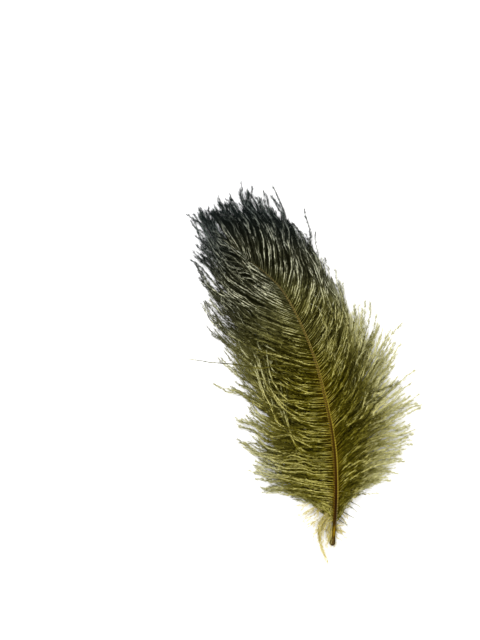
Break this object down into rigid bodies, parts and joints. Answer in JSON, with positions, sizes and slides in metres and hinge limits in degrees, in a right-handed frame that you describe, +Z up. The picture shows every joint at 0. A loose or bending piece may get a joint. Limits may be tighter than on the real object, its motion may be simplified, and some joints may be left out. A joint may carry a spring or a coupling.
{
  "type": "ostrich feather",
  "caption": "Dyed ostrich feather lying flat: a tapering quill and shaft with a wide, soft vane of free, fluffy barbs on each side, olive with a blue-black tip.",
  "frame": {"origin": "the middle of the feather's box in plan, on the surface that it lies on", "axes": "+Z up, +Y from the quill towards the tip along the feather's longest extent, +X to the right seen from above"},
  "size_m": [0.1396, 0.22, 0.0086],
  "materials": {
    "quill_horn": "smooth horn of the quill and shaft, red-brown and amber, satin",
    "dyed_barbs": "soft dyed feather barbs, olive with khaki lights, blue-black at the tip"
  },
  "bodies": {
    "root": {"shaft": "quill_horn", "left_vane": "dyed_barbs", "right_vane": "dyed_barbs"}
  },
  "joints": []
}
